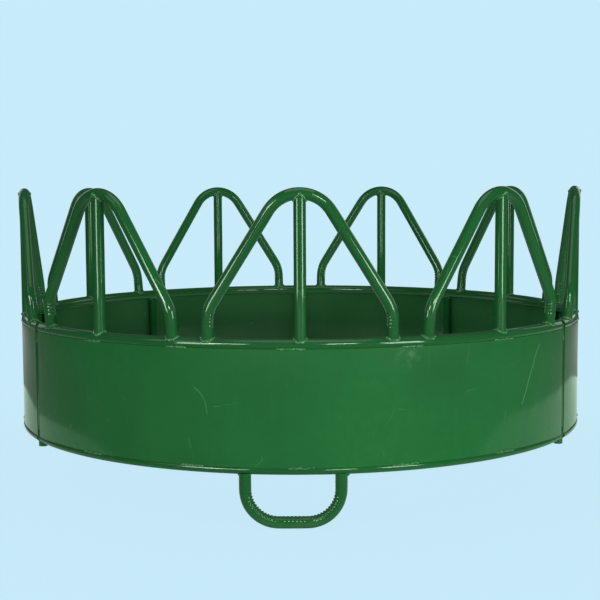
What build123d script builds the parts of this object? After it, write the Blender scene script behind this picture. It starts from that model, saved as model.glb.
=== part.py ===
from build123d import *

import math
import os

# Round bale feeder: a ring of three steel sections that stands on three tube feet.
# The sections hinge on drop pins at the front left and front right, and meet at a latched rear joint.
# Millimetres, +Z up, origin on the ground at the ring's axis. The front section faces -Y.
# An azimuth is an angle round the ring in degrees, from 0 at -Y towards +X.
# The pieces of one section are made at azimuth 0 and turned to each section's place when saved.

# Ring
RING_RADIUS = 1143.0  # ring axis to the top rail's centre line
RAIL_HEIGHT = 628.0  # ground to the top rail's centre line
RAIL_TUBE = 42.4
TUBE_WALL = 2.6
LOWER_RAIL_RADIUS = 1152.5
LOWER_RAIL_HEIGHT = 200.0
LOWER_RAIL_TUBE = 26.9
SHEET = 2.5  # thickness of the skirt
SEAM_REACH = 0.823  # top rail's centre line to the skirt's inner face, as a share of the rail's radius
WELD_GAP = 0.15  # root gap where a coped tube meets a rail

# Sections
SECTIONS = {"front": 0.0, "right": 120.0, "left": -120.0}
HALF_SECTION = 60.0

# Loops that keep the animals apart
LOOP_PLACES = {"left": -38.6, "centre": 0.0, "right": 38.6}
LEG_ANGLE = 16.0  # loop's centre to its legs, round the ring
LOOP_HEIGHT = 510.0  # top rail's centre line to the loop's top centre line
SLANT_ANGLE = 31.7  # slanted run from the vertical
LOOP_BEND = 125.0

# Uprights behind the skirt
UPRIGHT_PLACES = {"left": -20.0, "right": 20.0}
UPRIGHT_TUBE = 33.7

# Feet
FOOT_WIDTH = 328.0  # centre line to centre line
FOOT_OFFSET = -26.0  # the foot's centre from the section's centre, along the ring
FOOT_BEND = 115.0
FOOT_TOP_HEIGHT = 192.0
GROUND_FLAT = 1.6  # depth ground off the foot's underside, for a flat bearing face

# Joints between the sections
JOINT_RADIUS = 1146.0
SLEEVE_TUBE = 33.7
SLEEVE_BORE = 24.7
UPPER_SLEEVE = (RAIL_HEIGHT - 56.0, RAIL_HEIGHT)
MIDDLE_SLEEVE = (RAIL_HEIGHT - 394.0, RAIL_HEIGHT - 58.0)
LOWER_SLEEVE = (RAIL_HEIGHT - 458.0, RAIL_HEIGHT - 396.0)
SADDLE_BORE = 27.2  # wide enough for the pin to leave at 30 degrees to the saddle's mouth
RUNNING_GAP = 1.15  # between a section's end and the next section's sleeves
SHEET_END = 13.5  # skirt's end to the joint's plane
END_BAR = (28.0, 6.0)  # width across the ring and thickness
PIN_DIAMETER = 22.0
PIN_CLEAR_END = 3.0  # pin's foot above the lower sleeve's foot
PIN_CHAMFER = 3.0
COLLAR = (32.0, 5.0)
EYE_WIRE = 7.0
EYE_RADIUS = 8.0
EYE_SET = 2.0  # depth of the eye's wire in the weld on the collar
CAP_THICKNESS = 3.0

rail_radius = RAIL_TUBE / 2
lower_rail_radius = LOWER_RAIL_TUBE / 2
sleeve_radius = SLEEVE_TUBE / 2
clear_radius = sleeve_radius + RUNNING_GAP


def outward(azimuth):
    """Unit vector from the ring's axis towards an azimuth."""
    turn = math.radians(azimuth)
    return Vector(math.sin(turn), -math.cos(turn), 0)


def along(azimuth):
    """Unit vector along the ring at an azimuth, towards higher azimuths."""
    return outward(azimuth + 90)


def across(azimuth):
    """Upright plane through the ring's axis: X runs out from the axis and Y is up."""
    return Plane(origin=(0, 0, 0), x_dir=outward(azimuth), z_dir=-along(azimuth))


def facing(azimuth, radius, height, lean=0.0):
    """Plane that faces out from the ring: X runs along the ring and Y is up, leaning out."""
    tilt = math.radians(lean)
    upright = Vector(0, 0, 1)
    normal = outward(azimuth) * math.cos(tilt) - upright * math.sin(tilt)
    origin = outward(azimuth) * radius + upright * height
    return Plane(origin=origin, x_dir=along(azimuth), z_dir=normal)


def level(azimuth, height):
    """Level plane on a joint's axis: X runs along the ring and Y points to the ring's axis."""
    origin = outward(azimuth) * JOINT_RADIUS + Vector(0, 0, height)
    return Plane(origin=origin, x_dir=along(azimuth), z_dir=(0, 0, 1))


def angle_of(distance, radius):
    """Angle round the ring, in degrees, of a distance along it."""
    return math.degrees(math.asin(distance / radius))


def save(name, shape, azimuth=0.0):
    """Turns a piece to its place round the ring, labels it and writes it."""
    piece = shape.rotate(Axis.Z, azimuth)
    piece.label = name
    export_step(piece, f"parts/{name}.step")


os.makedirs("parts", exist_ok=True)

# Rails. The start of a section clears the next section's sleeves, and its end is welded to its own.
rail_start = -HALF_SECTION + angle_of(clear_radius, JOINT_RADIUS)
rail_end = HALF_SECTION - angle_of(sleeve_radius + WELD_GAP, JOINT_RADIUS)

with BuildPart() as top_rail:
    with BuildSketch(across(rail_start)):
        with Locations((RING_RADIUS, RAIL_HEIGHT)):
            Circle(rail_radius)
            Circle(rail_radius - TUBE_WALL, mode=Mode.SUBTRACT)
    revolve(axis=Axis.Z, revolution_arc=rail_end - rail_start)

with BuildPart() as bottom_rail:
    with BuildSketch(across(rail_start)):
        with Locations((LOWER_RAIL_RADIUS, LOWER_RAIL_HEIGHT)):
            Circle(lower_rail_radius)
            Circle(lower_rail_radius - TUBE_WALL, mode=Mode.SUBTRACT)
    revolve(axis=Axis.Z, revolution_arc=rail_end - rail_start)

cap_arc = math.degrees(CAP_THICKNESS / RING_RADIUS)
rail_ends = (
    (RING_RADIUS, RAIL_HEIGHT, rail_radius, rail_start),
    (RING_RADIUS, RAIL_HEIGHT, rail_radius, rail_end - cap_arc),
    (LOWER_RAIL_RADIUS, LOWER_RAIL_HEIGHT, lower_rail_radius, rail_start),
    (LOWER_RAIL_RADIUS, LOWER_RAIL_HEIGHT, lower_rail_radius, rail_end - cap_arc),
)
with BuildPart() as rail_caps:
    for ring, height, outside, azimuth in rail_ends:
        with BuildSketch(across(azimuth)):
            with Locations((ring, height)):
                Circle(outside - TUBE_WALL)
        revolve(axis=Axis.Z, revolution_arc=cap_arc)

# Skirt. Its edges butt on the outer quarters of the two rails.
sheet_inner = RING_RADIUS + SEAM_REACH * rail_radius
sheet_top = RAIL_HEIGHT - math.sqrt(rail_radius**2 - (sheet_inner - RING_RADIUS) ** 2)
sheet_foot = LOWER_RAIL_HEIGHT + math.sqrt(
    lower_rail_radius**2 - (sheet_inner - LOWER_RAIL_RADIUS) ** 2
)
sheet_start = -HALF_SECTION + angle_of(SHEET_END, sheet_inner)

with BuildPart() as skirt:
    with BuildSketch(across(sheet_start)):
        with Locations((sheet_inner, sheet_foot)):
            Rectangle(SHEET, sheet_top - sheet_foot, align=(Align.MIN, Align.MIN))
    revolve(axis=Axis.Z, revolution_arc=-2 * sheet_start)

# Loops. One flat bent tube leans out so that its legs and its top all stand over the rail's circle.
leg_reach = RING_RADIUS * math.sin(math.radians(LEG_ANGLE))
leg_plane_radius = RING_RADIUS * math.cos(math.radians(LEG_ANGLE))
loop_lean = math.degrees(math.atan2(RING_RADIUS - leg_plane_radius, LOOP_HEIGHT))
loop_rise = math.hypot(LOOP_HEIGHT, RING_RADIUS - leg_plane_radius)
slant = math.radians(SLANT_ANGLE)
peak = loop_rise + LOOP_BEND * (1 / math.sin(slant) - 1)
knee = peak - leg_reach / math.tan(slant)
loop_corners = (
    (-leg_reach, 0),
    (-leg_reach, knee),
    (0, peak),
    (leg_reach, knee),
    (leg_reach, 0),
)
loop_plane = facing(0, leg_plane_radius, RAIL_HEIGHT, loop_lean)

with BuildPart() as loop:
    with BuildLine(loop_plane) as loop_path:
        FilletPolyline(*loop_corners, radius=LOOP_BEND)
    with BuildSketch(Plane(origin=loop_path.line @ 0, z_dir=loop_path.line % 0)):
        Circle(rail_radius)
        Circle(rail_radius - TUBE_WALL, mode=Mode.SUBTRACT)
    sweep()
    with Locations((0, 0, RAIL_HEIGHT)):
        Torus(RING_RADIUS, rail_radius + WELD_GAP, mode=Mode.SUBTRACT)

with BuildPart() as loop_core:
    with BuildLine(loop_plane) as core_path:
        FilletPolyline(*loop_corners, radius=LOOP_BEND)
    with BuildSketch(Plane(origin=core_path.line @ 0, z_dir=core_path.line % 0)):
        Circle(rail_radius + WELD_GAP)
    sweep()

with BuildPart() as loop_bar:
    with BuildSketch(Plane.XY.offset(RAIL_HEIGHT)):
        with Locations((0, -RING_RADIUS)):
            Circle(rail_radius)
            Circle(rail_radius - TUBE_WALL, mode=Mode.SUBTRACT)
    extrude(amount=LOOP_HEIGHT)
    add(loop_core.part, mode=Mode.SUBTRACT)
    with Locations((0, 0, RAIL_HEIGHT)):
        Torus(RING_RADIUS, rail_radius + WELD_GAP, mode=Mode.SUBTRACT)

# Uprights between the rails, behind the skirt.
with BuildPart() as upright:
    with BuildSketch(Plane.XY.offset(LOWER_RAIL_HEIGHT)):
        with Locations((0, -RING_RADIUS)):
            Circle(UPRIGHT_TUBE / 2)
            Circle(UPRIGHT_TUBE / 2 - TUBE_WALL, mode=Mode.SUBTRACT)
    extrude(amount=RAIL_HEIGHT - LOWER_RAIL_HEIGHT)
    with Locations((0, 0, RAIL_HEIGHT)):
        Torus(RING_RADIUS, rail_radius + WELD_GAP, mode=Mode.SUBTRACT)
    with Locations((0, 0, LOWER_RAIL_HEIGHT)):
        Torus(LOWER_RAIL_RADIUS, lower_rail_radius + WELD_GAP, mode=Mode.SUBTRACT)

# Foot. A hoop of tube below the bottom rail, with a ground flat to stand on.
foot_line = rail_radius - GROUND_FLAT
foot_corners = (
    (FOOT_OFFSET - FOOT_WIDTH / 2, FOOT_TOP_HEIGHT),
    (FOOT_OFFSET - FOOT_WIDTH / 2, foot_line),
    (FOOT_OFFSET + FOOT_WIDTH / 2, foot_line),
    (FOOT_OFFSET + FOOT_WIDTH / 2, FOOT_TOP_HEIGHT),
)
with BuildPart() as foot:
    with BuildLine(facing(0, RING_RADIUS, 0)) as foot_path:
        FilletPolyline(*foot_corners, radius=FOOT_BEND)
    with BuildSketch(Plane(origin=foot_path.line @ 0, z_dir=foot_path.line % 0)):
        Circle(rail_radius)
        Circle(rail_radius - TUBE_WALL, mode=Mode.SUBTRACT)
    sweep()
    with Locations((0, 0, LOWER_RAIL_HEIGHT)):
        Torus(LOWER_RAIL_RADIUS, lower_rail_radius + WELD_GAP, mode=Mode.SUBTRACT)
    with BuildSketch(Plane.XY):
        with Locations((0, -RING_RADIUS)):
            Rectangle(2 * FOOT_WIDTH, 2 * RAIL_TUBE)
    extrude(amount=-RAIL_TUBE, mode=Mode.SUBTRACT)


# Joint sleeves. Each section has an upper and a lower sleeve at its end and a middle one at its start.
def sleeve(azimuth, span):
    """Round sleeve on a joint's axis, between two heights."""
    with BuildPart() as tube:
        with BuildSketch(level(azimuth, span[0])):
            Circle(sleeve_radius)
            Circle(SLEEVE_BORE / 2, mode=Mode.SUBTRACT)
        extrude(amount=span[1] - span[0])
    return tube.part


with BuildPart() as rear_saddle:
    with BuildSketch(level(-HALF_SECTION, MIDDLE_SLEEVE[0])):
        Circle(sleeve_radius)
        Circle(SADDLE_BORE / 2, mode=Mode.SUBTRACT)
        Rectangle(SLEEVE_TUBE, 2 * SLEEVE_TUBE, align=(Align.MAX, Align.CENTER), mode=Mode.SUBTRACT)
    extrude(amount=MIDDLE_SLEEVE[1] - MIDDLE_SLEEVE[0])


# End bars. Flat bars between the rails that carry the sleeves and clear the next section's sleeves.
def end_bar(side, clear_spans):
    """Flat bar beside the joint at the section's start (side -1) or end (side 1)."""
    with BuildPart() as bar:
        with BuildSketch(facing(side * HALF_SECTION, JOINT_RADIUS, LOWER_RAIL_HEIGHT)):
            with Locations((-side * sleeve_radius, 0)):
                align_x = Align.MAX if side > 0 else Align.MIN
                Rectangle(END_BAR[1], RAIL_HEIGHT - LOWER_RAIL_HEIGHT, align=(align_x, Align.MIN))
        extrude(amount=END_BAR[0] / 2, both=True)
        for low, high in clear_spans:
            with BuildSketch(level(side * HALF_SECTION, low - RUNNING_GAP)):
                Circle(clear_radius)
            extrude(amount=high - low + 2 * RUNNING_GAP, mode=Mode.SUBTRACT)
        with Locations((0, 0, RAIL_HEIGHT)):
            Torus(RING_RADIUS, rail_radius + WELD_GAP, mode=Mode.SUBTRACT)
        with Locations((0, 0, LOWER_RAIL_HEIGHT)):
            Torus(LOWER_RAIL_RADIUS, lower_rail_radius + WELD_GAP, mode=Mode.SUBTRACT)
    return bar.part


start_bar = end_bar(-1, (UPPER_SLEEVE, LOWER_SLEEVE))
finish_bar = end_bar(1, (MIDDLE_SLEEVE,))

# Drop pins, with a collar that rests on the upper sleeve and a lifting eye welded on it.
with BuildPart() as pin:
    with BuildSketch(level(HALF_SECTION, LOWER_SLEEVE[0] + PIN_CLEAR_END)):
        Circle(PIN_DIAMETER / 2)
    extrude(amount=UPPER_SLEEVE[1] - LOWER_SLEEVE[0] - PIN_CLEAR_END)
    chamfer(pin.edges().sort_by(Axis.Z)[0], length=PIN_CHAMFER)
    with BuildSketch(level(HALF_SECTION, UPPER_SLEEVE[1])):
        Circle(COLLAR[0] / 2)
    extrude(amount=COLLAR[1])

collar_top = UPPER_SLEEVE[1] + COLLAR[1]
eye_height = collar_top + EYE_RADIUS + EYE_WIRE / 2 - EYE_SET
with BuildPart() as pin_eye:
    with Locations(facing(HALF_SECTION, JOINT_RADIUS, eye_height).location):
        Torus(EYE_RADIUS, EYE_WIRE / 2)
    split(bisect_by=Plane.XY.offset(collar_top), keep=Keep.TOP)

# Write the sections.
for section, azimuth in SECTIONS.items():
    save(f"{section}_top_rail", top_rail.part, azimuth)
    save(f"{section}_bottom_rail", bottom_rail.part, azimuth)
    save(f"{section}_rail_caps", rail_caps.part, azimuth)
    save(f"{section}_skirt", skirt.part, azimuth)
    for place, offset in LOOP_PLACES.items():
        save(f"{section}_loop_{place}", loop.part, azimuth + offset)
        save(f"{section}_bar_{place}", loop_bar.part, azimuth + offset)
    for place, offset in UPRIGHT_PLACES.items():
        save(f"{section}_upright_{place}", upright.part, azimuth + offset)
    save(f"{section}_foot", foot.part, azimuth)
    save(f"{section}_start_bar", start_bar, azimuth)
    save(f"{section}_end_bar", finish_bar, azimuth)
    save(f"{section}_upper_sleeve", sleeve(HALF_SECTION, UPPER_SLEEVE), azimuth)
    save(f"{section}_lower_sleeve", sleeve(HALF_SECTION, LOWER_SLEEVE), azimuth)

save("front_middle_sleeve", sleeve(-HALF_SECTION, MIDDLE_SLEEVE), SECTIONS["front"])
save("right_middle_sleeve", sleeve(-HALF_SECTION, MIDDLE_SLEEVE), SECTIONS["right"])
save("left_rear_saddle", rear_saddle.part, SECTIONS["left"])

# Write the pins, one at the end of each section.
for joint, section in {"right": "front", "rear": "right", "left": "left"}.items():
    save(f"{joint}_pin", pin.part, SECTIONS[section])
    save(f"{joint}_pin_eye", pin_eye.part, SECTIONS[section])
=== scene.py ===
import math
import random

import bmesh
import bpy
from mathutils import Matrix, Vector, noise


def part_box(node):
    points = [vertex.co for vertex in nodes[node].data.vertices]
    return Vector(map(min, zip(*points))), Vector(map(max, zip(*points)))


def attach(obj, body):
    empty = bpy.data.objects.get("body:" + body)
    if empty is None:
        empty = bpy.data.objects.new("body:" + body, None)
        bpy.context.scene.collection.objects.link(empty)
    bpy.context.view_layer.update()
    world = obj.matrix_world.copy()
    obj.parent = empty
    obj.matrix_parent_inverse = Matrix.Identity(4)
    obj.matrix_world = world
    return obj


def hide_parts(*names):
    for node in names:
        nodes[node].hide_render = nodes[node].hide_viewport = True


# Round bale feeder: the painted steel of its three sections, built over the CAD frame.
# Metres, +Z up, origin on the ground at the ring's axis. The front section faces -Y.
# An azimuth is an angle round the ring in degrees, from 0 at -Y towards +X.
# A section's shapes are made at azimuth 0, measured on the front section, and turned into place.

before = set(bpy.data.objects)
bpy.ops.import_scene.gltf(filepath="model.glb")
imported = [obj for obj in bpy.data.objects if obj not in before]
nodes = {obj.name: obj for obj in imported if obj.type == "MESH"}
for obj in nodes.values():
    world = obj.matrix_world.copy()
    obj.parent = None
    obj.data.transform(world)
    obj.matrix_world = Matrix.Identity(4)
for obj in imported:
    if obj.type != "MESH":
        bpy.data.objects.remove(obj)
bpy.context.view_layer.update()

# Sections
SECTIONS = {"front": 0.0, "right": 120.0, "left": -120.0}
HALF_SECTION = 60.0  # degrees from a section's middle to its joints
PINS = {"front": "right", "right": "rear", "left": "left"}  # the pin at each section's end
LOOPS = ("left", "centre", "right")
UPRIGHTS = ("left", "right")
SHARP = 50  # degrees from which an edge stays sharp

# Tubes
LOOP_BEND = 0.125
LOOP_SLANT = 31.7  # slanted run from the vertical, in degrees
FOOT_BEND = 0.115
GROUND_FLAT = 0.00154  # how far the foot's underside is ground away
UPRIGHT_TUBE = 0.01685
ROUND = 32  # points round a tube
STRAIGHT_STEP = 0.016
BEND_STEP = 0.0022
FINE_MARGIN = 0.004  # how far the close rings run on past a cope or a bend
WANDER = 0.0003  # how far a tube's skin strays from a true cylinder
WANDER_RATE = 9.0  # strays to a metre
FLATTENING = 0.0007  # on the outside of a bend
FLATTENING_FADE = 0.04  # length over which it comes in, at each end of the bend

# Copes that a tube's ends are cut to
COPE_RINGS = 4
COPE_REACH = 0.03  # how far along a tube its end's cope is looked for
COPE_FLOOR = 0.0125  # the lowest that a leg's cope goes, above the top rail's centre line
HALVINGS = 18  # steps in which a cope's edge is closed in on

# Ripples that the bender leaves on the inside of a bend
RIPPLE_PITCH = 0.0134
RIPPLE_FADE = 0.3  # share of their stretch over which they come in, at each end
RIPPLE_SINK = 0.3  # share of their height by which the rippled skin sinks
RIPPLE_SLIP = 0.9  # how unevenly they are spaced, in radians
SLIP_RATE = (30.0, 0.6)  # how fast that changes, along the tube and round it
GRIP_REACH = 0.25  # how far the ripples reach round the tube past its middle
KNEE_RIPPLE = 0.0018
KNEE_LEAD = 0.030  # how far a knee's ripples run down its leg
KNEE_SHARE = 0.6  # share of a knee's bend that they cover
APEX_RIPPLE = 0.0003
APEX_PLAIN = 0.3  # share of the round top that has none, at each end
FOOT_RIPPLE = 0.0019
FOOT_LEAD = 0.010  # how far the foot's ripples start before a bend
FOOT_TRAIL = 0.012  # and how far they run on after it
FOOT_CREASE = 0.0009  # along the flat between the foot's bends

# Welds
WELD_SIZE = 0.0043
LEG_WELD = 0.0048
FOOT_WELD = 0.0062
APEX_WELD = 0.0047
WELD_STEP = 0.0016
WELD_SIDES = 9
WELD_WIDTH = 1.15  # how much wider a bead is than high
WELD_LUMP = 0.0052  # spacing of the lumps along a bead
LUMP_SWELL = 0.13  # share by which a lump swells
LUMP_SLIP = 1.5  # how unevenly they are spaced, in radians
WELD_ROUGHNESS = 0.22
ROUGH_RATE = 260.0
WELD_STRAY = 0.3  # how far a bead strays sideways, in shares of its size
STRAY_RATE = 140.0
WELD_TIP = 0.25  # size of an open bead's ends, as a share
WELD_LIFT = 0.1  # how far a bead stands out of its joint, in shares of its size
MEETING = 0.0003  # a tube's end meets a surface when it is this near
JOINT_POINTS = 72  # round a tube's end

# Stitch welds along the skirt's top and foot
STITCHES = range(-2, 3)  # counted from the middle one
STITCH_SPACING = 19.6  # degrees
STITCH_SHIFT = -0.6  # the middle one's azimuth
STITCH_STRAY = 1.6  # degrees
STITCH_LENGTH = 0.092
STITCH_STRETCH = (0.8, 1.15)  # shortest and longest, as shares of that length
STITCH_STEPS = 40
STITCH_SIZE = 0.0038
STITCH_GAP = 0.0006  # above or below the sheet's edge
STITCH_PROUD = (-0.0004, 0.0002)  # out of the sheet's face, at the top and at the foot
STITCH_LEAN = (0.15, -0.3)  # how far up they face, at the top and at the foot

# Skirt
SKIRT_WAVE = 0.0009
SKIRT_STEP = 0.75  # degrees
SKIRT_ROWS = 24
BROAD_WAVES = (0.11, 5.0)  # to a degree and to a metre of height
SMALL_WAVES = (0.4, 11.0)
SMALL_SHARE = 0.35

# Rail ends
CAP_INSET = 0.0028  # from the rail's skin to the plate's edge
CAP_DEPTH = 0.002
CAP_ROUNDING = 0.0002
CAP_CROWN = 0.0032  # from the plate's edge to its flat middle
CAP_RISE = 0.0006
CAP_HUB = 0.003
CAP_BEAD = 0.0012
CAP_BEAD_INSET = 0.0019

# Sleeves and pins
TURNED = 40  # points round a turned piece
EDGE = 0.0008  # edges rounded by the paint
SLEEVE_BORE = 0.01235
SLEEVE_WAYS = {"upper_sleeve": -1, "lower_sleeve": -1, "middle_sleeve": 1, "rear_saddle": 1}
SLEEVE_WELD = 0.0026
SLEEVE_WELD_SIDE = 0.0105  # from the pivot, out of and into the ring
SLEEVE_WELD_ALONG = 0.0145  # from the pivot, towards the end bar
SLEEVE_WELD_TURN = 0.4  # how far its face turns back to the pivot
SLEEVE_WELD_MARGIN = 0.006
SLEEVE_WELD_STEPS = 12
PIN_RADIUS = 0.011
PIN_NOSE = 0.003  # chamfer at the pin's foot
COLLAR_RADIUS = 0.016
COLLAR_HEIGHT = 0.005
COLLAR_HUB = 0.002
EYE_WIRE = 0.0035
EYE_RADIUS = 0.008
EYE_SIDES = 14
EYE_WELD = 0.0018
EYE_WELD_POINTS = 24
EYE_WELD_REACH = 0.0042
EYE_WELD_STRETCH = 1.6  # how much longer it is along the ring than out of it

# Colours, linear
SHEET_DEEP = (0.0090, 0.092, 0.021)
SHEET_FULL = (0.0110, 0.118, 0.027)
TUBE_DEEP = (0.0078, 0.072, 0.017)
TUBE_FULL = (0.0098, 0.092, 0.021)
DUST_AND_HAZE_GREY = (0.30, 0.33, 0.27)
# Pale green of scratches and wear, also painted on welds as glints
SCRATCH_AND_GLINT_GREEN = (0.16, 0.36, 0.18)

# Enamel. A band is the pair of noise values between which a pattern comes in.
PAINT_IOR = 1.40
COAT_WEIGHT = 0.15
COAT_ROUGHNESS = 0.06
CLOUD_SCALE = 2.3
CLOUD_BAND = (0.32, 0.68)
MOTTLE_SCALE = 34.0
MOTTLE_BAND = (0.42, 0.66)
MOTTLE_SHARE = 0.34
RUN_STRETCH = (58, 58, 3.2)  # runs are drawn out down the surface
RUN_BAND = (0.52, 0.74)
RUN_SHARE = 0.30
GRAIN_SCALE = 190.0
# Noise band of the pale flecks painted on welds as glints
GLINT_FLECK_BAND = (0.50, 0.60)
NIB_SCALE = 85.0
NIB_SIZE = (0.02, 0.10)
GLOSS_BAND = (0.3, 0.75)
GLOSS_SPREAD = 0.06
CLOUD_SAG = 6  # how much deeper the clouds are than the runs
NIB_HEIGHT = 1.5  # of the orange peel's depth

# Dust, and a grey layer inside the ring that is partly dust and partly painted haze
SPLASH_HEIGHT = 0.05
SPLASH_SHARE = 0.10
SPLASH_BAND = (0.4, 0.7)
SETTLED_SLOPE = (0.6, 1.0)  # how far up a surface faces, from no dust to all of it
SETTLED_SHARE = 0.05
SETTLED_BAND = (0.35, 0.7)
DUST_ROUGHNESS = 0.5
# A grey layer on inward faces, partly dust and partly painted haze standing in for reflected light
DUST_AND_HAZE_BAND = (0.3, 0.7)
DUST_AND_HAZE_SPREAD = 0.4  # how uneven the film is, as a share

# Scratches and the rubbed patch
SCRATCH_LAYERS = ((2.6, 3.1), (5.2, 8.7))  # scale of each layer, and its shift
SCRATCH_SHARE = 0.28
SCRATCH = 0.0035  # width of a scratch, in shares of the noise that draws it
SCRATCH_BREAKS = 2.1  # scale of the noise that breaks them off, over their own
SCRATCH_BAND = (0.62, 0.66)
LONG_SCRATCH = ((43.6, 0.370), (49.0, 0.580))  # azimuth and height of its ends
LONG_SHARE = 0.55
LONG_WIDTH = 0.0028
LONG_BOW = 0.012  # in radians round the ring
BOW_SCALE = 9.0
RUBBED = ((18.2, 0.579), 0.055)  # middle of the rubbed patch, and its reach
RUBBED_SHARE = 0.22
RUBBED_FULL = 0.2  # share of its reach that is fully rubbed
RUBBED_BAND = (0.42, 0.62)

# Camera, fitted to the photograph
CAMERA_DISTANCE = 5.297
CAMERA_HEIGHT = 1.1606
CAMERA_PITCH = 5.22
CAMERA_ROLL = 0.285
CAMERA_LENS = 74.58

# Floor and backdrop
FLOOR_RADIUS = 60.0
FLOOR_NEAR = 1.0  # out to here the floor shows most of its shade
FLOOR_FAR = 3.4  # from here on it has the backdrop's tone
FLOOR_GLOW = 0.94
FLOOR_COLOUR = (0.62, 0.78, 0.86)
FLOOR_BOUNCE = (0.30, 0.31, 0.30)  # what the floor gives back to the object
MAT_BOUNCE = (0.74, 0.96, 0.78)  # and its paler part, which the skirt's ends reflect
MAT_MIDDLE = (0.3, 0.45, 0.0)
MAT_REACH = (2.55, 1.7)
MAT_EDGE = 0.12  # softness of the paler part's outline
BACKDROP = (0.58, 0.83, 0.96)
WORLD_LIGHT = (0.86, 0.95, 1.0)
WORLD_DULL = 0.26  # the world's light on dull surfaces
WORLD_GLOSSY = 0.10  # and in reflections

# Lights: azimuth and distance from the front rail's middle, height, size and power.
# Streaks only show in reflections, and fills only light dull surfaces.
AIM_HEIGHT = 0.6
STREAK_LIGHT = (0.84, 1.0, 0.86)
STREAKS = {
    "left_strip": (-50, 1.7, 0.94, (0.55, 0.62), 14),
    "right_strip": (50, 1.7, 0.94, (0.55, 0.62), 16),
    "left_panel": (-33, 3.6, 1.95, (1.2, 0.6), 46),
    "right_panel": (18, 3.6, 2.1, (0.9, 0.5), 42),
}
SOFTBOXES = {
    "left_softbox": (-62, 3.2, 2.9, (1.5, 1.5), 9),
    "overhead_softbox": (0, 0.3, 4.5, (3.0, 3.0), 36),
    "rear_left_softbox": (-138, 5.2, 2.4, (2.6, 2.6), 14),
    "rear_right_softbox": (138, 5.2, 2.4, (2.6, 2.6), 20),
}
FILLS = {
    "left_fill": (-14, 7.5, 0.8, (3.0, 1.0), 340),
    "right_fill": (46, 7.5, 0.8, (3.0, 1.0), 400),
    "rear_left_fill": (-158, 7.0, 2.0, (3.0, 1.0), 110),
    "rear_right_fill": (158, 7.0, 2.0, (3.0, 1.0), 110),
}


# Measures taken from the frame
def reaches(node):
    """Distances of a node's points from the ring's axis."""
    return [math.hypot(v.co.x, v.co.y) for v in nodes[node].data.vertices]


def circle_of(node):
    """Radius of a rail's ring, its height and its tube's radius."""
    low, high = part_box(node)
    tube = (high.z - low.z) / 2
    return max(reaches(node)) - tube, (low.z + high.z) / 2, tube


def span_of(node, middle):
    """Lowest and highest azimuth of a node, from a middle azimuth."""
    turns = []
    for v in nodes[node].data.vertices:
        turn = math.degrees(math.atan2(v.co.x, -v.co.y)) - middle
        turns.append((turn + 180) % 360 - 180)
    return min(turns), max(turns)


def azimuth_of(node, middle):
    """Azimuth of a node's centre, near a middle azimuth."""
    return middle + sum(span_of(node, middle)) / 2


def axis_of(node):
    """Where an upright node's axis meets the ground."""
    low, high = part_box(node)
    return Vector((low.x + high.x, low.y + high.y, 0)) / 2


RING, RAIL_Z, TUBE = circle_of("front_top_rail")
LOWER_RING, LOWER_Z, LOWER_TUBE = circle_of("front_bottom_rail")
RAIL_START, RAIL_END = span_of("front_top_rail", 0)

loop_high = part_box("front_loop_centre")[1]
LEG_REACH = loop_high.x - TUBE
LEG_RADIUS = math.sqrt(RING**2 - LEG_REACH**2)
LOOP_LEAN = math.atan2(RING - LEG_RADIUS, loop_high.z - TUBE - RAIL_Z)
LOOP_HEIGHT = loop_high.z - TUBE * math.cos(LOOP_LEAN) - RAIL_Z

foot_low, foot_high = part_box("front_foot")
FOOT_TOP = foot_high.z
FOOT_LINE = foot_low.z + TUBE - GROUND_FLAT

JOINT_RADIUS = axis_of("right_pin").length

SKIRT_INNER, SKIRT_OUTER = min(reaches("front_skirt")), max(reaches("front_skirt"))
SKIRT_FOOT, SKIRT_TOP = (corner.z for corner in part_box("front_skirt"))
SKIRT_START, SKIRT_END = span_of("front_skirt", 0)


def outward(azimuth):
    """Unit vector from the ring's axis towards an azimuth."""
    turn = math.radians(azimuth)
    return Vector((math.sin(turn), -math.cos(turn), 0))


def upward(height):
    """Vector that goes straight up by a height."""
    return Vector((0, 0, height))


def smooth(low, high, value):
    """0 below low, 1 above high, and a smooth step between."""
    t = min(1.0, max(0.0, (value - low) / (high - low)))
    return t * t * (3 - 2 * t)


def window(start, end, fade, value):
    """1 between start and end, 0 outside them, with a smooth step just inside each."""
    return smooth(start, start + fade, value) * (1 - smooth(end - fade, end, value))


def around(count):
    """Turns of evenly spaced points round a circle."""
    return [2 * math.pi * j / count for j in range(count)]


def circle(centre, across, up, radius, count):
    """Points of a circle in the plane of two directions."""
    return [centre + radius * (math.cos(turn) * across + math.sin(turn) * up) for turn in around(count)]


def hash_of(name):
    """Steady number from a name."""
    return random.Random(name).randrange(1000)


# Skins and pieces
def skin(rings, closed=False):
    """Points and faces over rings of points. A closed skin joins its last ring to its first."""
    count = len(rings[0])
    points = [point for ring in rings for point in ring]
    faces = []
    for i in range(len(rings) if closed else len(rings) - 1):
        here, there = i * count, (i + 1) % len(rings) * count
        for j in range(count):
            k = (j + 1) % count
            faces.append((here + j, here + k, there + k, there + j))
    if not closed:
        faces.append(tuple(range(count)))
        faces.append(tuple(range(len(points) - count, len(points))))
    return points, faces


def turned(made, azimuth):
    """A skin turned round the ring's axis."""
    turn = Matrix.Rotation(math.radians(azimuth), 4, "Z")
    return [turn @ point for point in made[0]], made[1]


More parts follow.
